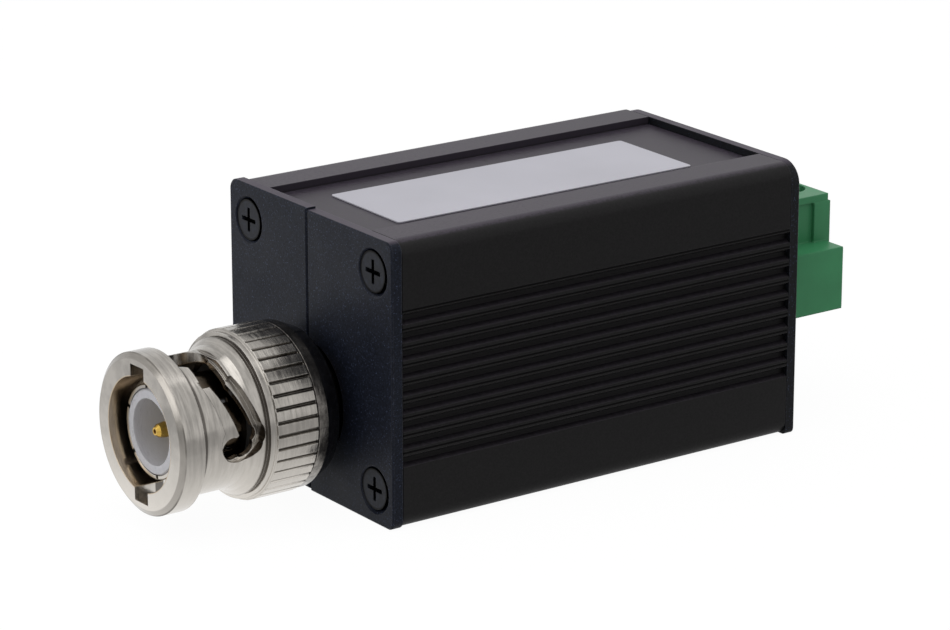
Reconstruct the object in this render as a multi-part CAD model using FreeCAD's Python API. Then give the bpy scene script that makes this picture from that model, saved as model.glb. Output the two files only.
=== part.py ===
import FreeCAD, Part
import math
import os

V = FreeCAD.Vector

# Video balun: ribbed aluminium box, bayonet plug in front, pluggable screw terminal behind.
# Millimetres. While modelling, y = 0 is the outer face of the front plates and z = 0 the underside.
# Every piece is moved along Y at export so that the origin is the bottom centre of the whole object.

# Box
BOX_W = 24.5
BOX_H = 24.8
BOX_CORNER_R = 1.3
PLATE_T = 1.0
PLATE_GAP = 0.06
REAR_FACE_Y = 43.05
WALL_SIDE = 2.2
WALL_TOP = 1.9
RIM_W = 4.4
RECESS_DEPTH = 0.68
RIB_GROOVES = 9
RIB_PITCH = 1.536
RIB_DROP = 0.29
RIB_GROOVE_W = 1.0
RIB_FLOOR_W = 0.4
RIB_GROOVE_D = 0.5
BOSS_R = 2.1
BOSS_HOLE_R = 1.0
SCREW_INSET_X = 2.85
SCREW_INSET_Z = 3.0

# End plates
SEAM_X = -0.3
SEAM_GAP = 0.14
LEFT_PLATE_LIFT = 0.15
FRONT_CORNER_R = 0.9
REAR_CORNER_R = 2.0
REAR_LOW_CORNER_R = 0.5
PLATE_BEVEL = 0.14
NECK_HOLE_R = 4.85
PLATE_HOLE_R = 1.15
SINK_R = 2.1
SINK_SHIFT_X = 0.14
SINK_SHIFT_Z = -0.04

# Plate screws
HEAD_R = 1.8
HEAD_SUNK = 0.1
HEAD_CONE_H = 0.8
SHANK_R = 0.97
SHANK_LEN = 6.0
CROSS_ARM = 1.05
CROSS_W = 0.36
CROSS_DEPTH = 0.5

# Blank label
LABEL_W = 10.3
LABEL_LEN = 30.8
LABEL_T = 0.1
LABEL_CORNER_R = 0.3
LABEL_TURN_DEG = -0.4
LABEL_MID_X = 0.6
LABEL_MID_Y = 20.7
LABEL_LIFT = 0.02

# Board, lying just under the centre pin
AXIS_Z = 8.5
BOARD_T = 1.6
BOARD_TOP = 7.9
BOARD_FRONT_GAP = 2.85
BOARD_REAR_GAP = 0.8
SLOT_DEPTH = 0.7
SLOT_PLAY = 0.08
BOARD_SIDE_PLAY = 0.1

# Bayonet plug, lengths along Y from the front plates
MOUTH_Y = -16.8
CONTACT_Y = -15.6
SHOULDER_Y0 = -8.2
SHOULDER_Y1 = -6.9
NECK_END_Y = -2.75
BUSH_Y0 = -2.2
CONTACT_R = 4.05
CONTACT_BORE_R = 3.68
CONTACT_BEVEL = 0.1
SHOULDER_R = 4.82
NECK_R = 3.55
TAIL_R = 3.0
TAIL_END_Y = 3.3
FINGER_SLOTS = 6
FINGER_SLOT_W = 0.35
FINGER_SLOT_LEN = 5.4
FINGER_TURN_DEG = -10.0
REAR_BORE_R = 2.5
REAR_BORE_Y = -8.5
FIT = 0.05

# Coupling nut: mouth flange, sleeve, shoulder, bead, fluted grip and rear ring
NUT_BORE_R = 4.9
NUT_FLANGE_Y0 = -4.2
NUT_FLANGE_Y1 = -2.8
NUT_REAR_Y = -1.4
NUT_REAR_R = 6.5
NUT_SKIRT_R = 4.95
FACE_R = 6.4
FACE_BEVEL = 0.35
FLANGE_R = 6.9
FLANGE_BACK_Y = -14.63
SLEEVE_R = 5.88
SHOULDER_FOOT_Y = -10.0
SHOULDER_MID_Y = -9.35
SHOULDER_MID_R = 6.15
SHOULDER_TOP_Y = -8.75
SHOULDER_TOP_R = 6.7
BEAD_GROOVE_R = 6.62
BEAD_Y0 = -8.45
BEAD_Y1 = -7.95
BEAD_R = 7.05
KNURL_R = 7.28
REAR_RING_R = 7.19
REAR_RING_BEND_Y = -2.9
REAR_GROOVE_R = 6.95
REAR_GROOVE_W = 0.15
KNURL_Y0 = -7.85
KNURL_Y1 = -3.95
FLUTES = 40
FLUTE_W = 0.34
FLUTE_D = 0.3

# Bayonet slots: angles about the plug axis from straight up, towards +x
HALF_TURN = 180.0
CUT_IN_R = 4.2
CUT_OUT_R = 7.5
ENTRY_DEG = -1.0
ENTRY_Y = -12.3
ENTRY_R = 2.05
ENTRY_FLAT_R = 5.62
NOTCH_R = 5.9
NOTCH_HALF_W = 1.05
NOTCH_END_Y = -13.0
THROUGH_RISE = 0.033
THROUGH_MID_AT_0 = -12.65
THROUGH_W = 1.5
THROUGH_START_Y0 = -12.8
THROUGH_START_Y1 = -10.5
THROUGH_FROM_DEG = 30.0
THROUGH_START_TO_DEG = 40.0
THROUGH_TO_DEG = 88.0
DETENT_REAR_DEG = 98.5
DETENT_REAR_Y = -10.2
DETENT_DEG = 99.5
DETENT_Y = -11.1
DETENT_R = 1.0
LEDGE_FLOOR_R = 5.42
LEDGE_RISE = 0.0247
LEDGE_MID_AT_0 = -12.5
LEDGE_W = 3.2
LEDGE_START_Y0 = -13.05
LEDGE_START_Y1 = -10.3
LEDGE_FROM_DEG = 36.0
LEDGE_START_TO_DEG = 42.0
LEDGE_TO_DEG = 86.0
LEDGE_END_DEG = 93.0
LEDGE_END_Y = -10.68
LEDGE_END_R = 1.75
SLOT_END_RELIEF = 0.03

WASHER_T = 0.5
RING_T = 0.45
RING_R = 4.6
SPRING_WIRE = 0.4
SPRING_TURNS = 2
SPRING_SIDES = 14
GASKET_T = 0.75
BUSH_R = 4.5
BUSH_FLANGE_R = 6.0
BUSH_FLANGE_T = 1.4
PRONG_X = 3.8
PRONG_W = 1.0
PRONG_T = 0.8
PRONG_LEN = 4.5
INSULATOR_R = 3.63
CUP_R = 2.85
CUP_DEPTH = 5.0
CUP_LEAD = 0.12
PIN_R = 0.675
PIN_TIP_Y = -15.3
PIN_TIP_R = 0.34
PIN_TAPER = 0.9
PIN_TAIL_R = 0.54
PIN_END_Y = 6.2
PIN_HOLE_R = 0.2
PIN_HOLE_DEPTH = 0.5

# Terminal
PITCH = 5.08
HEADER_HALF_W = 6.1
HEADER_H = 8.5
HEADER_LEN = 9.9
HEADER_SUNK = 0.15
HEADER_WALL = 0.8
HEADER_BACK = 1.4
HEADER_PIN = 1.0
HEADER_PIN_Z = 12.3
HEADER_PIN_SUNK = 3.05
HEADER_PIN_BACK = 1.4
TAIL_HOLE_R = 0.7
TAIL_BELOW = 1.2
NOSE_PLAY = 0.1
NOSE_LEN = 8.05
PLUG_GAP = 0.2
LOW_LEN = 8.3
LOW_HALF_W = 8.6
LOW_Z0 = 9.15
LOW_Z1 = 14.9
PLUG_BEVEL = 0.22
KEY_RIB_H = 0.12
KEY_RIB_LEN = 4.75
UP_HALF_W = 6.1
UP_Z1 = 19.2
UP_LEN = 8.6
CAP_H = 0.65
CAP_SETBACK = 0.15
SIDE_RECESS_X = 5.75
SIDE_RECESS_Z1 = 18.55
FIN_T = 1.85
CLAMP_FROM_END = 2.11
WELL_R = 1.66
WELL_Z0 = 16.3
CHAMBER_HALF_W = 1.85
CHAMBER_LEN = 3.1
CHAMBER_WALL = 0.75
CHAMBER_Z0 = 9.5
CHAMBER_Z1 = 15.7
SCREW_PASS_R = 1.15
WIRE_HALF_W = 1.55
WIRE_Z0 = 10.15
WIRE_Z1 = 13.35
CAGE_PLAY = 0.1
CAGE_Z0 = 9.7
CAGE_Z1 = 14.3
CAGE_BAR = 0.75
CAGE_SIDE = 0.42
CLAMP_R = 1.0
CLAMP_ABOVE_BLADE = 0.07
CLAMP_HEAD_R = 1.5
CLAMP_HEAD_Z0 = 16.36
CLAMP_HEAD_H = 1.5
DRIVE_SLOT_W = 0.45
DRIVE_SLOT_D = 0.8
BLADE_HALF_W = 1.2
BLADE_Z0 = 12.83
BLADE_T = 0.52
BLADE_SET_BACK = 0.7
BLADE_END_GAP = 0.2
LEAF_T = 0.3
LEAF_LEN = 5.9
PIN_TOUCH = 0.03
CAVITY_HALF_W = 1.35
CAVITY_Z0 = 11.3

# Parts on the board
CORE_R = 4.4
CORE_HOLE_R = 2.0
CORE_H = 3.4
CORE_Y = 18.0
WIND_T = 0.45
WIND_SKIN = 0.04
WIND_ARC_DEG = 145.0
WIND_START_DEG = 17.5
PART_LIFT = 0.03
CAP_X = -6.8
CAP_Y = 26.4
CAP_W = 2.8
CAP_LEN = 6.8
CAP_TALL = 6.0
CAP_EDGE_R = 0.3
CHIP_Y = 27.4
CHIP_W = 3.2
CHIP_LEN = 1.6
CHIP_T = 0.6
ARRESTER_X = 6.2
ARRESTER_Y = 26.0
ARRESTER_R = 2.5
ARRESTER_H = 4.2

MID_Z = BOX_H / 2
FRONT_BODY_Y = PLATE_T + PLATE_GAP
REAR_PLATE_Y = REAR_FACE_Y - PLATE_T
REAR_BODY_Y = REAR_PLATE_Y - PLATE_GAP
plug_y0 = REAR_FACE_Y + PLUG_GAP
up_y1 = plug_y0 + UP_LEN
header_y1 = REAR_FACE_Y - HEADER_SUNK
header_y0 = header_y1 - HEADER_LEN
header_bend_y = header_y0 - HEADER_PIN_BACK
SHIFT_Y = -(MOUTH_Y + up_y1) / 2

os.makedirs("parts", exist_ok=True)


def box(x0, x1, y0, y1, z0, z1):
    return Part.makeBox(x1 - x0, y1 - y0, z1 - z0, V(x0, y0, z0))


def rod_y(x, z, r, y0, y1):
    return Part.makeCylinder(r, y1 - y0, V(x, y0, z), V(0, 1, 0))


def rod_z(x, y, r, z0, z1):
    return Part.makeCylinder(r, z1 - z0, V(x, y, z0), V(0, 0, 1))


def turned(profile):
    points = [V(r, y, AXIS_Z) for y, r in profile]
    face = Part.Face(Part.makePolygon(points + [points[0]]))
    return face.revolve(V(0, 0, AXIS_Z), V(0, 1, 0), 360)


def tube_y(r_in, r_out, y0, y1):
    return rod_y(0, AXIS_Z, r_out, y0, y1).cut(rod_y(0, AXIS_Z, r_in, y0, y1))


def edges_along_y(shape, z=None, tol=1e-4):
    along = [e for e in shape.Edges if abs(e.tangentAt(e.FirstParameter).y) > 0.99]
    return [e for e in along if z is None or abs(e.Vertexes[0].Point.z - z) < tol]


def rounded_block(x0, x1, y0, y1, z0, z1, radius):
    block = box(x0, x1, y0, y1, z0, z1)
    return block.makeFillet(radius, edges_along_y(block))


def bevelled(shape, width, y, tol=1e-4):
    edges = [e for e in shape.Edges if abs(e.BoundBox.YMin - y) < tol and abs(e.BoundBox.YMax - y) < tol]
    return shape.makeChamfer(width, edges)


def export(name, shape):
    moved = shape.copy()
    moved.translate(V(0, SHIFT_Y, 0))
    moved.exportStep("parts/" + name + ".step")


# Housing: one extruded length with ribbed sides, a shallow channel above and below, four screw bosses
housing = rounded_block(-BOX_W / 2, BOX_W / 2, FRONT_BODY_Y, REAR_BODY_Y, 0, BOX_H, BOX_CORNER_R)
channel_half_w = BOX_W / 2 - RIM_W
channel_top = box(-channel_half_w, channel_half_w, 0, REAR_FACE_Y, BOX_H - RECESS_DEPTH, BOX_H + 1)
channel_low = box(-channel_half_w, channel_half_w, 0, REAR_FACE_Y, -1, RECESS_DEPTH)
housing = housing.cut(channel_top).cut(channel_low)
groove_span = (RIB_GROOVES - 1) * RIB_PITCH
for i in range(RIB_GROOVES):
    z = MID_Z - RIB_DROP - groove_span / 2 + i * RIB_PITCH
    for side in (-1, 1):
        mouth_x = side * BOX_W / 2
        floor_x = mouth_x - side * RIB_GROOVE_D
        groove = Part.makePolygon([
            V(mouth_x + side, 0, z - RIB_GROOVE_W / 2), V(mouth_x, 0, z - RIB_GROOVE_W / 2),
            V(floor_x, 0, z - RIB_FLOOR_W / 2), V(floor_x, 0, z + RIB_FLOOR_W / 2),
            V(mouth_x, 0, z + RIB_GROOVE_W / 2), V(mouth_x + side, 0, z + RIB_GROOVE_W / 2),
            V(mouth_x + side, 0, z - RIB_GROOVE_W / 2)])
        housing = housing.cut(Part.Face(groove).extrude(V(0, REAR_FACE_Y, 0)))
inner_half_w = BOX_W / 2 - WALL_SIDE
cavity = box(-inner_half_w, inner_half_w, 0, REAR_FACE_Y, WALL_TOP, BOX_H - WALL_TOP)
screw_x = BOX_W / 2 - SCREW_INSET_X
screw_places = [(sx * screw_x, z) for sx in (-1, 1) for z in (SCREW_INSET_Z, BOX_H - SCREW_INSET_Z)]
for x, z in screw_places:
    cavity = cavity.cut(rod_y(x, z, BOSS_R, 0, REAR_FACE_Y))
housing = housing.cut(cavity)
slot_half_w = inner_half_w + SLOT_DEPTH
board_low = BOARD_TOP - BOARD_T
board_slot = box(-slot_half_w, slot_half_w, 0, REAR_FACE_Y, board_low - SLOT_PLAY, BOARD_TOP + SLOT_PLAY)
housing = housing.cut(board_slot)
for x, z in screw_places:
    housing = housing.cut(rod_y(x, z, BOSS_HOLE_R, 0, REAR_FACE_Y))
export("housing", housing)


# Countersunk screw hole through a plate, from its outer face at y_out inward along dir_y
def sink_cutter(x, z, y_out, dir_y):
    cone = Part.makeCone(SINK_R, PLATE_HOLE_R, PLATE_T, V(x, y_out, z), V(0, dir_y, 0))
    return cone


# Front plates: two halves that close round the neck of the plug
def front_plate(side, lift):
    plate = rounded_block(-BOX_W / 2, BOX_W / 2, 0, PLATE_T, lift, BOX_H + lift, FRONT_CORNER_R)
    cut_edge = SEAM_X + side * SEAM_GAP / 2
    far = side * BOX_W
    plate = plate.common(box(min(cut_edge, far), max(cut_edge, far), -1, PLATE_T + 1, -1, BOX_H + 2))
    plate = plate.cut(rod_y(0, AXIS_Z, NECK_HOLE_R, -1, PLATE_T + 1))
    plate = bevelled(plate, PLATE_BEVEL, 0.0)
    for x, z in screw_places:
        if x * side > 0:
            plate = plate.cut(sink_cutter(x + SINK_SHIFT_X, z + SINK_SHIFT_Z + lift / 2, 0, 1))
    return plate


export("front_plate_left", front_plate(-1, LEFT_PLATE_LIFT))
export("front_plate_right", front_plate(1, 0.0))

# Rear plate with the opening for the terminal header
rear_plate = box(-BOX_W / 2, BOX_W / 2, REAR_PLATE_Y, REAR_FACE_Y, 0, BOX_H)
for radius, z in ((REAR_CORNER_R, BOX_H), (REAR_LOW_CORNER_R, 0)):
    rear_plate = rear_plate.makeFillet(radius, edges_along_y(rear_plate, z))
header_top = BOARD_TOP + HEADER_H
opening_gap = 0.25
rear_plate = bevelled(rear_plate, PLATE_BEVEL, REAR_FACE_Y)
opening_x = HEADER_HALF_W + opening_gap
rear_plate = rear_plate.cut(
    box(-opening_x, opening_x, 0, REAR_FACE_Y + 1, BOARD_TOP - opening_gap, header_top + opening_gap))
for x, z in screw_places:
    rear_plate = rear_plate.cut(sink_cutter(x, z, REAR_FACE_Y, -1))
export("rear_plate", rear_plate)


# Countersunk cross-head screw, its head flush with the plate and its shank in the boss
def plate_screw(x, z, y_out, dir_y):
    top = y_out + dir_y * HEAD_SUNK
    head = Part.makeCone(HEAD_R, SHANK_R, HEAD_CONE_H, V(x, top, z), V(0, dir_y, 0))
    shank = Part.makeCylinder(SHANK_R, SHANK_LEN, V(x, top, z), V(0, dir_y, 0))
    screw = head.fuse(shank)
    y0 = min(top - dir_y, top + dir_y * CROSS_DEPTH)
    y1 = max(top - dir_y, top + dir_y * CROSS_DEPTH)
    arm_a = box(x - CROSS_ARM, x + CROSS_ARM, y0, y1, z - CROSS_W / 2, z + CROSS_W / 2)
    arm_b = box(x - CROSS_W / 2, x + CROSS_W / 2, y0, y1, z - CROSS_ARM, z + CROSS_ARM)
    return screw.cut(arm_a.fuse(arm_b))


for number, (x, z) in enumerate(screw_places, start=1):
    export("front_screw_%d" % number, plate_screw(x, z, 0, 1))
    export("rear_screw_%d" % number, plate_screw(x, z, REAR_FACE_Y, -1))

# Blank label in the top channel, stuck on slightly askew
label_z = BOX_H - RECESS_DEPTH + LABEL_LIFT
label = box(-LABEL_W / 2, LABEL_W / 2, -LABEL_LEN / 2, LABEL_LEN / 2, label_z, label_z + LABEL_T)
corners = [e for e in label.Edges if abs(e.tangentAt(e.FirstParameter).z) > 0.99]
label = label.makeFillet(LABEL_CORNER_R, corners)
label.rotate(V(0, 0, 0), V(0, 0, 1), LABEL_TURN_DEG)
label.translate(V(LABEL_MID_X, LABEL_MID_Y, 0))
export("label", label)

# Plug body: slotted contact sleeve, shoulder, neck and tail turned in one piece
contact_sleeve = turned([
    (CONTACT_Y, CONTACT_BORE_R), (CONTACT_Y, CONTACT_R - CONTACT_BEVEL), (CONTACT_Y + CONTACT_BEVEL, CONTACT_R),
    (SHOULDER_Y0, CONTACT_R), (SHOULDER_Y0, SHOULDER_R), (SHOULDER_Y1, SHOULDER_R), (SHOULDER_Y1, NECK_R),
    (NECK_END_Y, NECK_R), (NECK_END_Y, TAIL_R), (TAIL_END_Y, TAIL_R), (TAIL_END_Y, REAR_BORE_R),
    (REAR_BORE_Y, REAR_BORE_R), (REAR_BORE_Y, CONTACT_BORE_R)])
for i in range(FINGER_SLOTS):
    cut = box(-FINGER_SLOT_W / 2, FINGER_SLOT_W / 2, CONTACT_Y - 1, CONTACT_Y + FINGER_SLOT_LEN,
              AXIS_Z + 1, AXIS_Z + CONTACT_R + 1)
    cut.rotate(V(0, 0, AXIS_Z), V(0, 1, 0), FINGER_TURN_DEG + i * 360.0 / FINGER_SLOTS)
    contact_sleeve = contact_sleeve.cut(cut)
export("contact_sleeve", contact_sleeve)

# Insulator: cup in front, stem through the body
insulator = turned([
    (CONTACT_Y - FIT, CUP_R), (CONTACT_Y - FIT, INSULATOR_R - CUP_LEAD), (CONTACT_Y - FIT + CUP_LEAD, INSULATOR_R),
    (REAR_BORE_Y - FIT, INSULATOR_R), (REAR_BORE_Y - FIT, REAR_BORE_R - FIT), (TAIL_END_Y, REAR_BORE_R - FIT),
    (TAIL_END_Y, PIN_R + FIT), (CONTACT_Y + CUP_DEPTH, PIN_R + FIT), (CONTACT_Y + CUP_DEPTH, CUP_R)])
export("insulator", insulator)

# Centre pin with a tapered, slightly hollow tip
pin = turned([
    (PIN_TIP_Y, 0.0), (PIN_TIP_Y, PIN_TIP_R), (PIN_TIP_Y + PIN_TAPER / 3, (PIN_TIP_R + 2 * PIN_R) / 3),
    (PIN_TIP_Y + PIN_TAPER, PIN_R), (TAIL_END_Y + 0.3, PIN_R), (TAIL_END_Y + 0.3, PIN_TAIL_R),
    (PIN_END_Y, PIN_TAIL_R), (PIN_END_Y, 0.0)])
pin = pin.cut(rod_y(0, AXIS_Z, PIN_HOLE_R, PIN_TIP_Y - 1, PIN_TIP_Y + PIN_HOLE_DEPTH))
export("centre_pin", pin)

# Gasket in front of the shoulder, retaining ring behind the neck
export("gasket", tube_y(CONTACT_R + 0.02, SHOULDER_R - 0.15, SHOULDER_Y0 - GASKET_T, SHOULDER_Y0 - 0.01))
ring_y1 = BUSH_Y0 - 0.03
export("retaining_ring", tube_y(TAIL_R + 0.02, RING_R, ring_y1 - RING_T, ring_y1))

# Mounting bush behind the nut: neck through the plates, flange behind them, prongs on the board
flange_y0 = FRONT_BODY_Y + 0.02
flange_y1 = flange_y0 + BUSH_FLANGE_T
bush = rod_y(0, AXIS_Z, BUSH_R, BUSH_Y0, flange_y1)
bush = bush.fuse(rod_y(0, AXIS_Z, BUSH_FLANGE_R, flange_y0, flange_y1))
prong_y1 = flange_y1 + PRONG_LEN
prong_high = BOARD_TOP + PART_LIFT
prong_low = board_low - PART_LIFT
for x in (-PRONG_X, PRONG_X):
    above = box(x - PRONG_W / 2, x + PRONG_W / 2, flange_y1 - 0.1, prong_y1, prong_high, prong_high + PRONG_T)
    below = box(x - PRONG_W / 2, x + PRONG_W / 2, flange_y1 - 0.1, prong_y1, prong_low - PRONG_T, prong_low)
    bush = bush.fuse(above).fuse(below)
bush = bush.cut(rod_y(0, AXIS_Z, TAIL_R + 0.02, BUSH_Y0 - 1, flange_y1 + 1))
export("mounting_bush", bush.removeSplitter())

# Coupling nut: turned blank with straight flutes and a flat for each bayonet entry
nut = turned([
    (MOUTH_Y, NUT_BORE_R), (MOUTH_Y, FACE_R), (MOUTH_Y + FACE_BEVEL, FLANGE_R), (FLANGE_BACK_Y, FLANGE_R),
    (FLANGE_BACK_Y, SLEEVE_R), (SHOULDER_FOOT_Y, SLEEVE_R), (SHOULDER_MID_Y, SHOULDER_MID_R),
    (SHOULDER_TOP_Y, SHOULDER_TOP_R), (SHOULDER_TOP_Y, BEAD_GROOVE_R), (BEAD_Y0, BEAD_GROOVE_R),
    (BEAD_Y0, BEAD_R), (BEAD_Y1, BEAD_R), (KNURL_Y0, KNURL_R), (KNURL_Y1, KNURL_R),
    (KNURL_Y1, REAR_GROOVE_R), (KNURL_Y1 + REAR_GROOVE_W, REAR_GROOVE_R), (KNURL_Y1 + REAR_GROOVE_W, REAR_RING_R),
    (REAR_RING_BEND_Y, REAR_RING_R), (NUT_REAR_Y, NUT_REAR_R), (NUT_REAR_Y, NUT_SKIRT_R),
    (NUT_FLANGE_Y1, NUT_SKIRT_R), (NUT_FLANGE_Y1, NECK_R + FIT), (NUT_FLANGE_Y0, NECK_R + FIT),
    (NUT_FLANGE_Y0, NUT_BORE_R)])
flute_tip = V(0, KNURL_Y0, AXIS_Z + KNURL_R - FLUTE_D)
flute_top = AXIS_Z + CUT_OUT_R
flute_half_w = FLUTE_W / 2 * (CUT_OUT_R - KNURL_R + FLUTE_D) / FLUTE_D
flute_face = Part.Face(Part.makePolygon([
    flute_tip, V(flute_half_w, KNURL_Y0, flute_top), V(-flute_half_w, KNURL_Y0, flute_top), flute_tip]))
for i in range(FLUTES):
    flute = flute_face.extrude(V(0, KNURL_Y1 - KNURL_Y0, 0))
    flute.rotate(V(0, 0, AXIS_Z), V(0, 1, 0), i * 360.0 / FLUTES)
    nut = nut.cut(flute)


def about_axis(shape, deg):
    turned_shape = shape.copy()
    turned_shape.rotate(V(0, 0, AXIS_Z), V(0, 1, 0), deg)
    return turned_shape


# Helical cutter: a radial rectangle carried along a helix about the plug axis
def helical_cutter(mid_at_0, rise_per_deg, width, from_deg, to_deg):
    path = Part.makeHelix(rise_per_deg * 360.0, rise_per_deg * (to_deg - from_deg), (CUT_IN_R + CUT_OUT_R) / 2)
    outline = Part.makePolygon([
        V(CUT_IN_R, 0, -width / 2), V(CUT_OUT_R, 0, -width / 2), V(CUT_OUT_R, 0, width / 2),
        V(CUT_IN_R, 0, width / 2), V(CUT_IN_R, 0, -width / 2)])
    cutter = Part.Wire(path).makePipeShell([outline], True, True)
    to_row = FreeCAD.Matrix(0, 1, 0, 0, 0, 0, 1, mid_at_0 + rise_per_deg * from_deg, 1, 0, 0, AXIS_Z, 0, 0, 0, 1)
    return about_axis(cutter.transformGeometry(to_row), from_deg)


def sector_cutter(y0, y1, from_deg, to_deg):
    outline = Part.Face(Part.makePolygon([
        V(0, y0, AXIS_Z + CUT_IN_R), V(0, y0, AXIS_Z + CUT_OUT_R), V(0, y1, AXIS_Z + CUT_OUT_R),
        V(0, y1, AXIS_Z + CUT_IN_R), V(0, y0, AXIS_Z + CUT_IN_R)]))
    return about_axis(outline.revolve(V(0, 0, AXIS_Z), V(0, 1, 0), to_deg - from_deg), from_deg)


def radial_drill(deg, y, radius):
    return about_axis(Part.makeCylinder(radius, CUT_OUT_R - CUT_IN_R, V(0, y, AXIS_Z + CUT_IN_R), V(0, 0, 1)), deg)


notch = box(-NOTCH_HALF_W, NOTCH_HALF_W, MOUTH_Y - 1, NOTCH_END_Y, AXIS_Z + CUT_IN_R, AXIS_Z + NOTCH_R)
flat = box(-SLEEVE_R, SLEEVE_R, FLANGE_BACK_Y, SHOULDER_FOOT_Y, AXIS_Z + ENTRY_FLAT_R, AXIS_Z + CUT_OUT_R)
through_end_y = THROUGH_MID_AT_0 + THROUGH_RISE * THROUGH_TO_DEG
through_cuts = [
    about_axis(notch, ENTRY_DEG),
    radial_drill(ENTRY_DEG, ENTRY_Y, ENTRY_R),
    sector_cutter(THROUGH_START_Y0, THROUGH_START_Y1, ENTRY_DEG, THROUGH_START_TO_DEG),
    helical_cutter(THROUGH_MID_AT_0, THROUGH_RISE, THROUGH_W, THROUGH_FROM_DEG, THROUGH_TO_DEG),
    radial_drill(THROUGH_TO_DEG, through_end_y, THROUGH_W / 2 + SLOT_END_RELIEF),
    radial_drill(DETENT_REAR_DEG, DETENT_REAR_Y, DETENT_R),
    radial_drill(DETENT_DEG, DETENT_Y, DETENT_R)]
ledge_end_y = LEDGE_MID_AT_0 + LEDGE_RISE * LEDGE_TO_DEG
ledge_cuts = [
    sector_cutter(LEDGE_START_Y0, LEDGE_START_Y1, ENTRY_DEG, LEDGE_START_TO_DEG),
    helical_cutter(LEDGE_MID_AT_0, LEDGE_RISE, LEDGE_W, LEDGE_FROM_DEG, LEDGE_TO_DEG),
    radial_drill(LEDGE_TO_DEG, ledge_end_y, LEDGE_W / 2 + SLOT_END_RELIEF),
    radial_drill(LEDGE_END_DEG, LEDGE_END_Y, LEDGE_END_R)]
for half_turn in (0, HALF_TURN):
    nut = nut.cut(about_axis(flat, ENTRY_DEG + half_turn))
below_floor = rod_y(0, AXIS_Z, LEDGE_FLOOR_R, MOUTH_Y - 1, NUT_REAR_Y + 1)
nut_in = nut.common(below_floor)
nut_out = nut.cut(below_floor)
for half_turn in (0, HALF_TURN):
    for cutter in through_cuts:
        nut_in = nut_in.cut(about_axis(cutter, half_turn))
        nut_out = nut_out.cut(about_axis(cutter, half_turn))
    for cutter in ledge_cuts:
        nut_out = nut_out.cut(about_axis(cutter, half_turn))
export("coupling_nut", nut_in.fuse(nut_out).removeSplitter())

# Thrust washer and coil spring that draw the nut back against the retaining ring
washer_y1 = NUT_FLANGE_Y0 - 0.02
washer_y0 = washer_y1 - WASHER_T
export("thrust_washer", tube_y(NECK_R + FIT, NUT_BORE_R - FIT, washer_y0, washer_y1))
spring_y0 = SHOULDER_Y1 + 0.03 + SPRING_WIRE / 2
spring_y1 = washer_y0 - 0.03 - SPRING_WIRE / 2
spring_r = (NECK_R + NUT_BORE_R) / 2
path_points = []
for i in range(SPRING_TURNS * SPRING_SIDES + 1):
    turn = 2 * math.pi * i / SPRING_SIDES
    y = spring_y0 + (spring_y1 - spring_y0) * i / (SPRING_TURNS * SPRING_SIDES)
    path_points.append(V(spring_r * math.sin(turn), y, AXIS_Z + spring_r * math.cos(turn)))
half_wire = SPRING_WIRE / 2
wire_section = Part.makePolygon([
    V(0, spring_y0 + a * half_wire, AXIS_Z + spring_r + b * half_wire)
    for a, b in ((-1, -1), (1, -1), (1, 1), (-1, 1), (-1, -1))])
nut_spring = Part.makePolygon(path_points).makePipeShell([wire_section], True, False, 1)
export("nut_spring", nut_spring)

# Circuit board, notched round the tail of the plug
board_half_w = slot_half_w - BOARD_SIDE_PLAY
board_y0 = FRONT_BODY_Y + BOARD_FRONT_GAP
board_y1 = REAR_BODY_Y - BOARD_REAR_GAP
board = box(-board_half_w, board_half_w, board_y0, board_y1, board_low, BOARD_TOP)
for side in (-1, 1):
    board = board.cut(rod_z(side * PITCH / 2, header_bend_y, TAIL_HOLE_R, 0, BOX_H))
export("circuit_board", board)

# Transformer: ring core with two windings
core_z0 = BOARD_TOP + PART_LIFT + WIND_T + 0.05
core_blank = Part.makeCylinder(CORE_R, CORE_H, V(0, CORE_Y, core_z0))
core = core_blank.cut(Part.makeCylinder(CORE_HOLE_R, CORE_H, V(0, CORE_Y, core_z0)))
export("transformer_core", core)
wind_r0 = CORE_HOLE_R - WIND_SKIN
wind_r1 = CORE_R + WIND_SKIN
wind_z0 = core_z0 - WIND_SKIN
wind_z1 = core_z0 + CORE_H + WIND_SKIN


def section(r0, r1, z0, z1):
    return Part.Face(Part.makePolygon([V(r0, 0, z0), V(r1, 0, z0), V(r1, 0, z1), V(r0, 0, z1), V(r0, 0, z0)]))


wind_outside = section(wind_r0 - WIND_T, wind_r1 + WIND_T, wind_z0 - WIND_T, wind_z1 + WIND_T)
wind_section = wind_outside.cut(section(wind_r0, wind_r1, wind_z0, wind_z1)).Faces[0]
for name, start_deg in (("winding_primary", WIND_START_DEG), ("winding_secondary", WIND_START_DEG + 180)):
    winding = wind_section.revolve(V(0, 0, 0), V(0, 0, 1), WIND_ARC_DEG)
    winding.rotate(V(0, 0, 0), V(0, 0, 1), start_deg)
    winding.translate(V(0, CORE_Y, 0))
    export(name, winding)

# Capacitor, resistor and surge arrester
part_z = BOARD_TOP + PART_LIFT
capacitor = rounded_block(CAP_X - CAP_W / 2, CAP_X + CAP_W / 2, CAP_Y - CAP_LEN / 2, CAP_Y + CAP_LEN / 2,
                          part_z, part_z + CAP_TALL, CAP_EDGE_R)
export("capacitor", capacitor)
resistor = box(-CHIP_W / 2, CHIP_W / 2, CHIP_Y - CHIP_LEN / 2, CHIP_Y + CHIP_LEN / 2, part_z, part_z + CHIP_T)
export("resistor", resistor)
export("surge_arrester", rod_z(ARRESTER_X, ARRESTER_Y, ARRESTER_R, part_z, part_z + ARRESTER_H))

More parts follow.
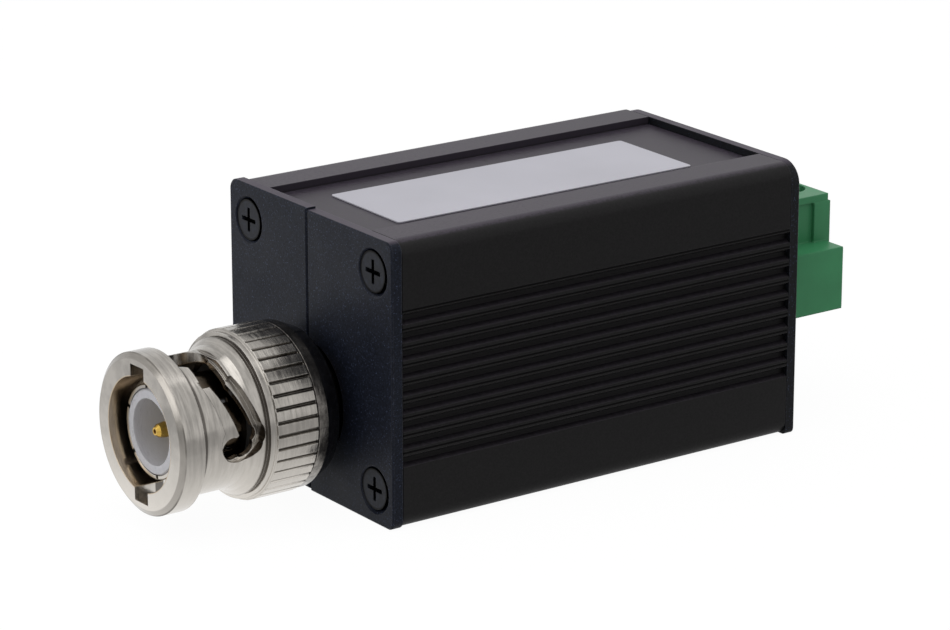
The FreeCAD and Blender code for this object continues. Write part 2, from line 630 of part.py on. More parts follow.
# Terminal header: open box facing the rear
header = box(-HEADER_HALF_W, HEADER_HALF_W, header_y0, header_y1, BOARD_TOP + PART_LIFT, header_top)
hollow_z0 = BOARD_TOP + PART_LIFT + HEADER_WALL
hollow_z1 = header_top - HEADER_WALL
hollow_x = HEADER_HALF_W - HEADER_WALL
header = header.cut(box(-hollow_x, hollow_x, header_y0 + HEADER_BACK, header_y1 + 1, hollow_z0, hollow_z1))
half_pin = HEADER_PIN / 2
pin_x = (-PITCH / 2, PITCH / 2)
half_hole = half_pin + PART_LIFT
for x in pin_x:
    header = header.cut(box(x - half_hole, x + half_hole, header_y0 - 1, header_y0 + HEADER_BACK + 1,
                            HEADER_PIN_Z - half_hole, HEADER_PIN_Z + half_hole))
export("terminal_header", header)
drop_w = half_pin * 0.9
for number, x in enumerate(pin_x, start=1):
    level = box(x - half_pin, x + half_pin, header_bend_y - half_pin, REAR_FACE_Y - HEADER_PIN_SUNK,
                HEADER_PIN_Z - half_pin, HEADER_PIN_Z + half_pin)
    drop = box(x - drop_w, x + drop_w, header_bend_y - drop_w, header_bend_y + drop_w,
               board_low - TAIL_BELOW, HEADER_PIN_Z)
    export("header_pin_%d" % number, level.fuse(drop).removeSplitter())

# Terminal plug: nose in the header, wide lower block, narrower upper block with a set-back cap
low_y1 = plug_y0 + LOW_LEN
nose_y0 = REAR_FACE_Y - NOSE_LEN
nose_x = hollow_x - NOSE_PLAY
nose = box(-nose_x, nose_x, nose_y0, plug_y0 + 0.5, hollow_z0 + NOSE_PLAY, hollow_z1 - NOSE_PLAY)
lower = bevelled(box(-LOW_HALF_W, LOW_HALF_W, plug_y0, low_y1, LOW_Z0, LOW_Z1), PLUG_BEVEL, low_y1)
upper = box(-UP_HALF_W, UP_HALF_W, plug_y0, up_y1, LOW_Z1 - 0.5, UP_Z1 - CAP_H)
cap = box(-UP_HALF_W + CAP_SETBACK, UP_HALF_W - CAP_SETBACK, plug_y0, up_y1 - CAP_SETBACK, LOW_Z1, UP_Z1)
rib_x = LOW_HALF_W - 0.3
rib = box(-rib_x, rib_x, plug_y0, plug_y0 + KEY_RIB_LEN, LOW_Z0 - KEY_RIB_H, LOW_Z0 + 0.5)
plug = lower.fuse(upper).fuse(cap).fuse(nose).fuse(rib).removeSplitter()
for x0, x1 in ((-BOX_W, -SIDE_RECESS_X), (SIDE_RECESS_X, BOX_W)):
    plug = plug.cut(box(x0, x1, plug_y0 - 1, up_y1 - FIN_T, LOW_Z1, SIDE_RECESS_Z1))
chamber_y1 = up_y1 - CHAMBER_WALL
chamber_y0 = chamber_y1 - CHAMBER_LEN
clamp_y = up_y1 - CLAMP_FROM_END
blade_z1 = BLADE_Z0 + BLADE_T
for x in pin_x:
    plug = plug.cut(rod_z(x, clamp_y, WELL_R, WELL_Z0, UP_Z1 + 1))
    plug = plug.cut(rod_z(x, clamp_y, SCREW_PASS_R, CHAMBER_Z1 - 0.5, WELL_Z0 + 0.5))
    plug = plug.cut(box(x - CHAMBER_HALF_W, x + CHAMBER_HALF_W, chamber_y0, chamber_y1, CHAMBER_Z0, CHAMBER_Z1))
    plug = plug.cut(box(x - WIRE_HALF_W, x + WIRE_HALF_W, chamber_y1 - 0.5, up_y1 + 1, WIRE_Z0, WIRE_Z1))
    plug = plug.cut(box(x - CAVITY_HALF_W, x + CAVITY_HALF_W, nose_y0 - 1, chamber_y0 + 0.5,
                        CAVITY_Z0, blade_z1 + FIT))
export("terminal_plug", plug)

# Plug contacts, clamp cages and clamp screws, one set for each pole
blade_y0 = nose_y0 + BLADE_SET_BACK
blade_y1 = chamber_y1 - BLADE_END_GAP
leaf_y1 = blade_y0 + LEAF_LEN
leaf_z1 = HEADER_PIN_Z - half_pin - PIN_TOUCH
cage_half_w = CHAMBER_HALF_W - CAGE_PLAY
cage_y0 = chamber_y0 + CAGE_PLAY
cage_y1 = chamber_y1 - CAGE_PLAY
slot_top = CLAMP_HEAD_Z0 + CLAMP_HEAD_H
half_slot = DRIVE_SLOT_W / 2
for number, x in enumerate(pin_x, start=1):
    blade = box(x - BLADE_HALF_W, x + BLADE_HALF_W, blade_y0, blade_y1, BLADE_Z0, blade_z1)
    leaf = box(x - BLADE_HALF_W, x + BLADE_HALF_W, blade_y0, leaf_y1, leaf_z1 - LEAF_T, leaf_z1)
    web = box(x - BLADE_HALF_W, x + BLADE_HALF_W, leaf_y1 - LEAF_T, leaf_y1, leaf_z1 - LEAF_T, BLADE_Z0 + 0.1)
    export("plug_contact_%d" % number, blade.fuse(leaf).fuse(web).removeSplitter())
    cage = box(x - cage_half_w, x + cage_half_w, cage_y0, cage_y1, CAGE_Z0, CAGE_Z1)
    cage = cage.cut(box(x - cage_half_w + CAGE_SIDE, x + cage_half_w - CAGE_SIDE, cage_y0 - 1, cage_y1 + 1,
                        CAGE_Z0 + CAGE_BAR, CAGE_Z1 - CAGE_BAR))
    cage = cage.cut(rod_z(x, clamp_y, CLAMP_R + FIT, CAGE_Z1 - CAGE_BAR - 0.5, CAGE_Z1 + 1))
    export("clamp_cage_%d" % number, cage)
    clamp = rod_z(x, clamp_y, CLAMP_R, blade_z1 + CLAMP_ABOVE_BLADE, CLAMP_HEAD_Z0 + 0.2)
    clamp = clamp.fuse(rod_z(x, clamp_y, CLAMP_HEAD_R, CLAMP_HEAD_Z0, slot_top))
    drive = box(x - CLAMP_HEAD_R - 1, x + CLAMP_HEAD_R + 1, clamp_y - half_slot, clamp_y + half_slot,
                slot_top - DRIVE_SLOT_D, slot_top + 1)
    export("clamp_screw_%d" % number, clamp.cut(drive))
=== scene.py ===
import math

import bmesh
import bpy
from mathutils import Matrix, Vector


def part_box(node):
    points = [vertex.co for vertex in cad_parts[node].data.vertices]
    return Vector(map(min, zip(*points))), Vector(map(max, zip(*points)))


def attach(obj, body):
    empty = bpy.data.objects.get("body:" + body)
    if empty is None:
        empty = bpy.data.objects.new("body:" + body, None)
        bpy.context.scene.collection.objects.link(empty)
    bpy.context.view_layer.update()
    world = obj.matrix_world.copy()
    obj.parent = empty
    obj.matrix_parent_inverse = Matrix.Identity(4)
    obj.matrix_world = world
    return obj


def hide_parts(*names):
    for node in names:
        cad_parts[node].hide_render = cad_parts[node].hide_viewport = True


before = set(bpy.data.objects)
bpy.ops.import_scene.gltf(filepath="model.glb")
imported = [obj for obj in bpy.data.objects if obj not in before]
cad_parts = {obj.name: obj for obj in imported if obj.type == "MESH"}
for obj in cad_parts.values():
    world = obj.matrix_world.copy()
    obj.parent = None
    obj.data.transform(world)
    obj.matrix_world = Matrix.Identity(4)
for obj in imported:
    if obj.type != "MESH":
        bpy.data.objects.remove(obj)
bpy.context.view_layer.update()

bl_info = {
    "name": "Video balun finish",
    "version": (1, 0, 0),
    "blender": (4, 5, 0),
    "location": "View3D > Sidebar > Balun",
    "description": "Gives the video balun its finishes, its wound transformer and a plain studio",
    "category": "Object",
}

MM = 0.001
AXIS_Z = 8.5 * MM
BOX_MID_Z = 12.4 * MM
SCREW_X = 9.4 * MM
SCREW_UP = 9.4 * MM
ROW_SHIFT = -17.525 * MM

class FinishColours(bpy.types.PropertyGroup):
    housing: bpy.props.FloatVectorProperty(
        name="Housing", description="Black anodised extrusion", subtype="COLOR", size=3, min=0, max=1,
        default=(0.0050, 0.0046, 0.0050))
    # This colour is painted light, laid on upward faces and on the housing recess's far wall.
    painted_light: bpy.props.FloatVectorProperty(
        name="Painted light", description="Fine dust on the upper face", subtype="COLOR", size=3, min=0, max=1,
        default=(0.043, 0.035, 0.049))
    plate: bpy.props.FloatVectorProperty(
        name="End plates", description="Dark blue-black coat of the end plates", subtype="COLOR", size=3, min=0, max=1,
        default=(0.0075, 0.0095, 0.0165))
    # Edge wear and painted highlight along the plates' edges.
    wear_and_highlight: bpy.props.FloatVectorProperty(
        name="Edge wear and highlight", description="Paler coat along the plates' edges", subtype="COLOR", size=3, min=0, max=1,
        default=(0.055, 0.055, 0.065))
    plate_screw: bpy.props.FloatVectorProperty(
        name="Plate screws", description="Blackened screw steel", subtype="COLOR", size=3, min=0, max=1,
        default=(0.010, 0.0115, 0.0165))
    label: bpy.props.FloatVectorProperty(
        name="Label", description="Silver-grey film of the blank label", subtype="COLOR", size=3, min=0, max=1,
        default=(0.475, 0.468, 0.523))
    nickel: bpy.props.FloatVectorProperty(
        name="Nickel", description="Nickel plating of the bayonet plug", subtype="COLOR", size=3, min=0, max=1,
        default=(0.40, 0.378, 0.348))
    gold: bpy.props.FloatVectorProperty(
        name="Gold", description="Gold plating of the centre pin", subtype="COLOR", size=3, min=0, max=1,
        default=(0.60, 0.39, 0.085))
    insulator: bpy.props.FloatVectorProperty(
        name="Insulator", description="Milky white insulator", subtype="COLOR", size=3, min=0, max=1,
        default=(0.60, 0.60, 0.64))
    terminal: bpy.props.FloatVectorProperty(
        name="Terminal", description="Green moulding of the screw terminal", subtype="COLOR", size=3, min=0, max=1,
        default=(0.046, 0.238, 0.103))
    board: bpy.props.FloatVectorProperty(
        name="Board", description="Solder mask of the circuit board", subtype="COLOR", size=3, min=0, max=1,
        default=(0.01, 0.12, 0.04))
    copper: bpy.props.FloatVectorProperty(
        name="Copper", description="Enamelled winding wire", subtype="COLOR", size=3, min=0, max=1,
        default=(0.55, 0.18, 0.05))


class FinishSizes(bpy.types.PropertyGroup):
    grain: bpy.props.FloatProperty(
        name="Grain", description="Size of the fine grain in the anodised and coated faces", default=0.16 * MM,
        min=0.01 * MM, unit="LENGTH")
    edge: bpy.props.FloatProperty(
        name="Edge", description="Rounding that catches light along the edges of metal pieces", default=0.09 * MM,
        min=0.0, unit="LENGTH")
    smudge: bpy.props.FloatProperty(
        name="Smudge", description="Size of the handling marks on the plated pieces", default=2.2 * MM,
        min=0.1 * MM, unit="LENGTH")


class WindingSizes(bpy.types.PropertyGroup):
    wire: bpy.props.FloatProperty(
        name="Wire", description="Diameter of the winding wire", default=0.4 * MM, min=0.1 * MM, unit="LENGTH")
    turns: bpy.props.IntProperty(
        name="Turns", description="Turns of wire in each winding", default=14, min=3, max=40)


class StudioSettings(bpy.types.PropertyGroup):
    key: bpy.props.FloatProperty(
        name="Key light", description="Power of the soft light overhead", default=1.1, min=0.0, unit="POWER")
    fill: bpy.props.FloatProperty(
        name="Fill light", description="Power of the soft light in front", default=0.55, min=0.0, unit="POWER")
    world: bpy.props.FloatProperty(
        name="Room light", description="Strength of the even light from all round", default=0.55, min=0.0)
    lens: bpy.props.FloatProperty(
        name="Lens", description="Focal length of the camera on a 36 mm sensor", default=149.68, min=10.0)


class Finish:
    """A node material with helpers for the patterns that the finishes share."""

    def __init__(self, name, colour, roughness, metallic=0.0, specular=0.5):
        self.material = bpy.data.materials.new(name)
        self.material.use_nodes = True
        self.tree = self.material.node_tree
        self.shader = self.tree.nodes["Principled BSDF"]
        self.shader.inputs["Base Color"].default_value = (*colour, 1.0)
        self.shader.inputs["Roughness"].default_value = roughness
        self.shader.inputs["Metallic"].default_value = metallic
        self.shader.inputs["Specular IOR Level"].default_value = specular
        self.coords = self.tree.nodes.new("ShaderNodeTexCoord")
        self.parts = None
        self.normal = None

    def join(self, out, to):
        self.tree.links.new(out, to)

    def places(self, stretch=(1.0, 1.0, 1.0)):
        mapping = self.tree.nodes.new("ShaderNodeMapping")
        mapping.inputs["Scale"].default_value = stretch
        self.join(self.coords.outputs["Object"], mapping.inputs["Vector"])
        return mapping.outputs["Vector"]

    def noise(self, size, detail=2.0, roughness=0.5, stretch=(1.0, 1.0, 1.0)):
        node = self.tree.nodes.new("ShaderNodeTexNoise")
        node.inputs["Scale"].default_value = 1.0 / size
        node.inputs["Detail"].default_value = detail
        node.inputs["Roughness"].default_value = roughness
        self.join(self.places(stretch), node.inputs["Vector"])
        return node.outputs["Fac"]

    def spread(self, value, low, high, to_low=0.0, to_high=1.0):
        node = self.tree.nodes.new("ShaderNodeMapRange")
        node.inputs["From Min"].default_value = low
        node.inputs["From Max"].default_value = high
        node.inputs["To Min"].default_value = to_low
        node.inputs["To Max"].default_value = to_high
        self.join(value, node.inputs["Value"])
        return node.outputs["Result"]

    def tint(self, amount, first, second):
        node = self.tree.nodes.new("ShaderNodeMix")
        node.data_type = "RGBA"
        node.inputs["A"].default_value = (*first, 1.0)
        node.inputs["B"].default_value = (*second, 1.0)
        self.join(amount, node.inputs["Factor"])
        self.colour = node.outputs["Result"]
        self.join(self.colour, self.shader.inputs["Base Color"])

    def laid_over(self, amount, shade):
        """Lays another colour over the one so far, by amount."""
        node = self.tree.nodes.new("ShaderNodeMix")
        node.data_type = "RGBA"
        self.join(self.colour, node.inputs["A"])
        node.inputs["B"].default_value = (*shade, 1.0)
        self.join(amount, node.inputs["Factor"])
        self.colour = node.outputs["Result"]
        self.join(self.colour, self.shader.inputs["Base Color"])

    def sum(self, operation, first, second=0.0, third=0.0):
        node = self.tree.nodes.new("ShaderNodeMath")
        node.operation = operation
        for socket, value in zip(node.inputs, (first, second, third)):
            if isinstance(value, (int, float)):
                socket.default_value = value
            else:
                self.join(value, socket)
        return node.outputs["Value"]

    def paint_shade(self, amount):
        """Paints shade where amount is 1: takes the gloss away and lays a near black colour there, as a deep gap in
        shade looks.
        """
        self.laid_over(amount, (0.0012, 0.0011, 0.0012))
        self.join(amount, self.shader.inputs["Metallic"])

    def axes(self):
        if self.parts is None:
            self.parts = self.tree.nodes.new("ShaderNodeSeparateXYZ")
            self.join(self.coords.outputs["Object"], self.parts.inputs["Vector"])
        return self.parts.outputs["X"], self.parts.outputs["Y"], self.parts.outputs["Z"]

    def above(self, value, limit, soft=0.02 * MM):
        return self.spread(value, limit - soft, limit + soft)

    def below(self, value, limit, soft=0.02 * MM):
        return self.spread(value, limit - soft, limit + soft, 1.0, 0.0)

    def within(self, value, low, high, soft=0.02 * MM):
        return self.sum("MULTIPLY", self.above(value, low, soft), self.below(value, high, soft))

    def both(self, first, second):
        return self.sum("MULTIPLY", first, second)

    def either(self, *masks):
        whole = masks[0]
        for mask in masks[1:]:
            whole = self.sum("MAXIMUM", whole, mask)
        return whole

    def facing_up(self, low=0.8, high=0.98):
        node = self.tree.nodes.new("ShaderNodeNewGeometry")
        split = self.tree.nodes.new("ShaderNodeSeparateXYZ")
        self.join(node.outputs["Normal"], split.inputs["Vector"])
        return self.spread(split.outputs["Z"], low, high)

    def edges(self, radius, low=0.01, high=0.12):
        """Where a rounded edge would turn away from the flat face."""
        soft = self.tree.nodes.new("ShaderNodeBevel")
        soft.samples = 6
        soft.inputs["Radius"].default_value = radius
        flat = self.tree.nodes.new("ShaderNodeNewGeometry")
        node = self.tree.nodes.new("ShaderNodeVectorMath")
        node.operation = "DOT_PRODUCT"
        self.join(soft.outputs["Normal"], node.inputs[0])
        self.join(flat.outputs["Normal"], node.inputs[1])
        return self.spread(node.outputs["Value"], 1.0 - high, 1.0 - low, 1.0, 0.0)

    def about_axis(self):
        """Distance from the plug's axis."""
        x, y, z = self.axes()
        return self.across(x, self.sum("SUBTRACT", z, AXIS_Z))

    def across(self, first, second):
        return self.sum("SQRT", self.sum("ADD", self.both(first, first), self.both(second, second)))

    def about_screws(self):
        """Offsets from the nearest plate screw's axis, and the distance."""
        x, y, z = self.axes()
        side = self.sum("SUBTRACT", self.sum("ABSOLUTE", x), SCREW_X)
        high = self.sum("SUBTRACT", self.sum("ABSOLUTE", self.sum("SUBTRACT", z, BOX_MID_Z)), SCREW_UP)
        return side, high, self.across(side, high)

    def rough(self, value, smooth, dull):
        self.join(self.spread(value, 0.3, 0.7, smooth, dull), self.shader.inputs["Roughness"])

    def rounded(self, radius):
        node = self.tree.nodes.new("ShaderNodeBevel")
        node.samples = 6
        node.inputs["Radius"].default_value = radius
        self.normal = node.outputs["Normal"]
        self.join(self.normal, self.shader.inputs["Normal"])

    def bumped(self, value, depth, strength=1.0):
        node = self.tree.nodes.new("ShaderNodeBump")
        node.inputs["Distance"].default_value = depth
        node.inputs["Strength"].default_value = strength
        self.join(value, node.inputs["Height"])
        if self.normal is not None:
            self.join(self.normal, node.inputs["Normal"])
        self.normal = node.outputs["Normal"]
        self.join(self.normal, self.shader.inputs["Normal"])


def lighter(colour, amount):
    return tuple(min(1.0, c * amount) for c in colour)


def dress(finish, *nodes):
    for node in nodes:
        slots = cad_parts[node].material_slots
        for slot in slots:
            slot.material = finish.material


def colours():
    return bpy.context.scene.balun_colours


def sizes():
    return bpy.context.scene.balun_sizes


class BALUN_OT_housing(bpy.types.Operator):
    """Black anodised finish with drawn lines along the extruded housing"""
    bl_idname = "balun.housing"
    bl_label = "Housing"

    def execute(self, context):
        base = tuple(colours().housing)
        coat = Finish("black_anodised", base, 0.42, specular=0.155)
        grain = coat.noise(sizes().grain, 3.0, 0.6)
        drawn = coat.noise(0.35 * MM, 3.0, 0.6, stretch=(1.0, 0.02, 1.0))
        coat.tint(coat.spread(grain, 0.35, 0.75), lighter(base, 0.75), lighter(base, 1.9))
        sparkle = coat.noise(sizes().grain * 1.8, 2.0, 0.6)
        # Painted light: upward faces are lightened in grainy specks, the raised rim most and more so towards the
        # front.
        painted_light = coat.both(coat.facing_up(), coat.spread(sparkle, 0.36, 0.66, 0.45, 1.15))
        x, y, z = coat.axes()
        rim = coat.both(coat.above(z, 24.5 * MM, 0.1 * MM), coat.spread(y, -30 * MM, 25 * MM, 0.85, 0.0))
        coat.laid_over(coat.sum("MULTIPLY", painted_light, coat.sum("ADD", rim, 1.0)), tuple(colours().painted_light))
        # Painted light: the recess's far wall, which falls in shade, is lightened.
        wall = coat.both(coat.within(coat.sum("ABSOLUTE", x), 7.6 * MM, 8.0 * MM, 0.05 * MM), coat.above(z, 24.2 * MM, 0.1 * MM))
        coat.laid_over(coat.sum("MULTIPLY", wall, 0.7), tuple(colours().painted_light))
        scored, lip_light = self.scored_lines(coat)
        # Painted light: a lighter band along the lower lip of each land between the ribs.
        coat.laid_over(coat.sum("MULTIPLY", lip_light, 0.9), (0.044, 0.042, 0.045))
        # Painted shade: the ribs' groove floors are darkened, and the scored lines almost to black.
        groove = coat.spread(coat.sum("ABSOLUTE", x), 11.8 * MM, 12.25 * MM, 0.35, 0.0)
        ribs = coat.both(groove, coat.within(z, 5.3 * MM, 18.95 * MM))
        coat.paint_shade(coat.either(coat.sum("MULTIPLY", scored, 0.8), ribs))
        coat.rough(sparkle, 0.38, 0.47)
        coat.rounded(sizes().edge)
        coat.bumped(scored, -0.04 * MM, 1.0)
        coat.bumped(drawn, 0.003 * MM, 0.3)
        coat.bumped(grain, 0.008 * MM, 0.6)
        dress(coat, "housing")
        return {"FINISHED"}


    def scored_lines(self, coat):
        """Thin lines scored along the middle of each land between the ribs' grooves, which take painted shade, and a
        band along each land's lower lip, which takes painted light.
        """
        first, pitch, count, width = 6.72 * MM, 1.525 * MM, 9, 0.2 * MM
        x, y, z = coat.axes()
        rows = coat.sum("DIVIDE", coat.sum("SUBTRACT", z, first), pitch)
        nearest = coat.sum("MINIMUM", coat.sum("MAXIMUM", coat.sum("ROUND", rows), 0.0), count - 1)
        off = coat.sum("MULTIPLY", coat.sum("SUBTRACT", rows, nearest), pitch)
        lip_light = coat.within(off, -0.48 * MM, -0.25 * MM, 0.04 * MM)
        off = coat.sum("ABSOLUTE", off)
        line = coat.spread(off, 0.35 * width, 0.65 * width, 1.0, 0.0)
        side = coat.sum("GREATER_THAN", coat.sum("ABSOLUTE", x), 12.1 * MM)
        return coat.sum("MULTIPLY", line, side), coat.both(lip_light, coat.above(coat.sum("ABSOLUTE", x), 11.9 * MM, 0.1 * MM))


class BALUN_OT_plates(bpy.types.Operator):
    """Fine-grained dark coat on the three end plates"""
    bl_idname = "balun.plates"
    bl_label = "End plates"

    def execute(self, context):
        base = tuple(colours().plate)
        coat = Finish("plate_coat", base, 0.45, specular=0.11)
        grain = coat.noise(sizes().grain * 1.3, 3.0, 0.65)
        speck = coat.noise(sizes().grain * 0.7, 1.0, 0.5)
        cloud = coat.noise(5 * MM, 3.0, 0.6)
        coat.tint(coat.spread(grain, 0.3, 0.75), lighter(base, 0.5), lighter(base, 1.7))
        coat.laid_over(coat.sum("MULTIPLY", coat.above(coat.axes()[1], 20 * MM), 0.9), (0.0075, 0.0078, 0.0088))
        coat.laid_over(coat.spread(speck, 0.64, 0.78), lighter(base, 8.0))
        # Painted light: upward faces of the plates are lightened.
        coat.laid_over(coat.facing_up(), lighter(tuple(colours().painted_light), 1.35))
        # Edge wear and painted highlight: a paler colour along the plates' edges, patchy with the grain.
        wear_and_highlight = coat.both(coat.edges(0.14 * MM), coat.spread(grain, 0.35, 0.65, 0.15, 0.8))
        coat.laid_over(wear_and_highlight, tuple(colours().wear_and_highlight))
        # Painted shade: a dark ring round each screw, in the gap at the countersink's edge.
        rim = coat.within(coat.about_screws()[2], 1.7 * MM, 1.86 * MM)
        coat.paint_shade(coat.sum("MULTIPLY", rim, 0.8))
        coat.rough(cloud, 0.38, 0.5)
        coat.rounded(sizes().edge)
        coat.bumped(grain, 0.014 * MM, 0.7)
        dress(coat, "front_plate_left", "front_plate_right", "rear_plate")
        return {"FINISHED"}


class BALUN_OT_screws(bpy.types.Operator):
    """Blackened steel on the eight plate screws"""
    bl_idname = "balun.screws"
    bl_label = "Plate screws"

    def execute(self, context):
        base = tuple(colours().plate_screw)
        steel = Finish("blackened_steel", base, 0.38, specular=0.12)
        worn = steel.noise(0.5 * MM, 3.0, 0.6)
        steel.tint(steel.spread(worn, 0.45, 0.75), base, lighter(base, 2.6))
        side, high, away = steel.about_screws()
        # Painted shade: a dark ring at the head's rim and in the arms of the cross recess.
        rim = steel.above(away, 1.62 * MM, 0.06 * MM)
        arms = [steel.both(steel.below(steel.sum("ABSOLUTE", a), 0.21 * MM, 0.05 * MM),
                           steel.below(steel.sum("ABSOLUTE", b), 0.95 * MM, 0.12 * MM)) for a, b in ((side, high), (high, side))]
        steel.paint_shade(steel.either(rim, *arms))
        steel.rough(worn, 0.3, 0.45)
        steel.rounded(0.08 * MM)
        dress(steel, *[f"{end}_screw_{i}" for end in ("front", "rear") for i in range(1, 5)])
        return {"FINISHED"}


class BALUN_OT_label(bpy.types.Operator):
    """Blank silver-grey film label"""
    bl_idname = "balun.label"
    bl_label = "Label"

    def execute(self, context):
        base = tuple(colours().label)
        film = Finish("label_film", base, 0.5)
        fibre = film.noise(0.12 * MM, 2.0, 0.6)
        cloud = film.noise(9 * MM, 2.0, 0.5)
        film.tint(film.spread(cloud, 0.3, 0.7), lighter(base, 0.95), lighter(base, 1.05))
        film.rough(fibre, 0.42, 0.55)
        film.bumped(fibre, 0.003 * MM, 0.5)
        dress(film, "label")
        return {"FINISHED"}


class BALUN_OT_bayonet(bpy.types.Operator):
    """Handled nickel plating on the bayonet plug, plain steel on its spring, washer and ring"""
    bl_idname = "balun.bayonet"
    bl_label = "Bayonet plug"

    def execute(self, context):
        base = tuple(colours().nickel)
        nut = self.plated("nickel_plate", base)
        around, along = nut.about_axis(), nut.sum("SUBTRACT", nut.axes()[1], ROW_SHIFT)
        bore = nut.below(around, 4.97 * MM, 0.03 * MM)
        flutes = nut.both(nut.within(along, -7.9 * MM, -3.9 * MM), nut.below(around, 7.17 * MM, 0.05 * MM))
        neck = nut.both(nut.within(along, -8.8 * MM, -8.45 * MM), nut.below(around, 6.66 * MM, 0.03 * MM))
        corner = nut.both(nut.within(along, -14.8 * MM, -13.8 * MM, 0.04 * MM), nut.below(around, 6.0 * MM, 0.06 * MM))
        bevel = nut.both(nut.within(along, -16.52 * MM, -16.44 * MM, 0.02 * MM), nut.spread(nut.noise(2.5 * MM, 2.0, 0.5), 0.35, 0.55))
        rear = nut.both(nut.above(along, -3.9 * MM, 0.05 * MM), nut.spread(nut.noise(0.5 * MM, 4.0, 0.6), 0.3, 0.7, 0.4, 0.95))
        # Painted shade: the knurl's flutes are darkened.
        nut.laid_over(nut.sum("MULTIPLY", flutes, 0.72), (0.09, 0.082, 0.074))
        # Painted shade: the groove at the neck, the sleeve just behind the flange and a patchy band on the flange's
        # front bevel are darkened.
        nut.laid_over(nut.sum("MULTIPLY", nut.either(neck, corner, bevel), 0.8), (0.05, 0.043, 0.037))
        nut.laid_over(nut.sum("MULTIPLY", bore, 0.8), (0.52, 0.42, 0.30))
        # Painted shade: the outer ring of the flange's front face, at its bevel, is darkened.
        mouth = nut.both(nut.below(along, -16.45 * MM, 0.02 * MM), nut.above(around, 6.38 * MM, 0.05 * MM))
        nut.laid_over(nut.sum("MULTIPLY", mouth, 0.5), (0.20, 0.185, 0.165))
        # Painted shade: the rear ring is darkened, mottled.
        nut.laid_over(rear, (0.07, 0.064, 0.06))
        dress(nut, "coupling_nut")
        inner = self.plated("nickel_inside", base)
        depth = inner.sum("SUBTRACT", inner.axes()[1], ROW_SHIFT)
        # Painted shade: the contact sleeve and bush darken deeper inside the plug.
        inner.laid_over(inner.above(depth, -15.2 * MM, 0.3 * MM), (0.07, 0.055, 0.04))
        dress(inner, "contact_sleeve", "mounting_bush")
        steel = Finish("spring_steel", (0.45, 0.44, 0.43), 0.3, 1.0)
        steel.rough(steel.noise(0.6 * MM, 3.0, 0.6), 0.22, 0.42)
        dress(steel, "nut_spring", "thrust_washer", "retaining_ring")
        seal = Finish("seal_rubber", (0.015, 0.015, 0.015), 0.6)
        seal.rough(seal.noise(0.5 * MM, 3.0, 0.6), 0.5, 0.72)
        dress(seal, "gasket")
        return {"FINISHED"}

    def plated(self, name, base):
        nickel = Finish(name, base, 0.2, 1.0)
        smudge = nickel.noise(sizes().smudge, 3.0, 0.5)
        turned = nickel.noise(0.9 * MM, 3.0, 0.6, stretch=(0.35, 3.0, 0.35))
        grit = nickel.noise(0.12 * MM, 2.0, 0.6)
        marks = nickel.sum("ADD", nickel.sum("MULTIPLY", smudge, 0.35), nickel.sum("MULTIPLY", turned, 0.65))
        nickel.tint(nickel.spread(marks, 0.38, 0.62), lighter(base, 0.66), lighter(base, 1.06))
        nickel.laid_over(nickel.spread(grit, 0.66, 0.78, 0.0, 0.55), lighter(base, 0.35))
        # Painted light: the plating is lightened towards the bottom.
        low = nickel.spread(nickel.axes()[2], 10.5 * MM, 2.5 * MM, 0.0, 0.9)
        nickel.laid_over(low, lighter(base, 1.85))
        nickel.rough(marks, 0.14, 0.27)
        nickel.rounded(sizes().edge)
        nickel.bumped(turned, 0.011 * MM, 0.6)
        nickel.bumped(smudge, 0.03 * MM, 0.5)
        return nickel


class BALUN_OT_contact(bpy.types.Operator):
    """Milky insulator and gold-plated centre pin"""
    bl_idname = "balun.contact"
    bl_label = "Insulator and pin"

    def execute(self, context):
        base = tuple(colours().insulator)
        milk = Finish("milky_insulator", base, 0.32)
        turned = milk.noise(0.5 * MM, 2.0, 0.5, stretch=(1.0, 4.0, 1.0))
        milk.tint(milk.spread(turned, 0.3, 0.7), lighter(base, 0.93), lighter(base, 1.05))
        depth = milk.sum("SUBTRACT", milk.axes()[1], ROW_SHIFT)
        inside = milk.both(milk.below(milk.about_axis(), 2.9 * MM, 0.03 * MM), milk.spread(depth, -15.4 * MM, -13.0 * MM))
        # Painted light: the insulator's bore is lightened deeper in.
        milk.laid_over(inside, (0.68, 0.67, 0.665))
        milk.rough(turned, 0.26, 0.4)
        milk.shader.inputs["Subsurface Weight"].default_value = 0.35
        milk.shader.inputs["Subsurface Radius"].default_value = (0.9 * MM, 0.9 * MM, 0.9 * MM)
        milk.shader.inputs["Subsurface Scale"].default_value = 1.0
        dress(milk, "insulator")
        gold_colour = tuple(colours().gold)
        gold = Finish("gold_plate", gold_colour, 0.22, 1.0)
        haze = gold.noise(0.4 * MM, 3.0, 0.6)
        gold.tint(gold.spread(haze, 0.3, 0.7), lighter(gold_colour, 0.9), lighter(gold_colour, 1.08))
        gold.rough(haze, 0.16, 0.32)
        dress(gold, "centre_pin")
        return {"FINISHED"}


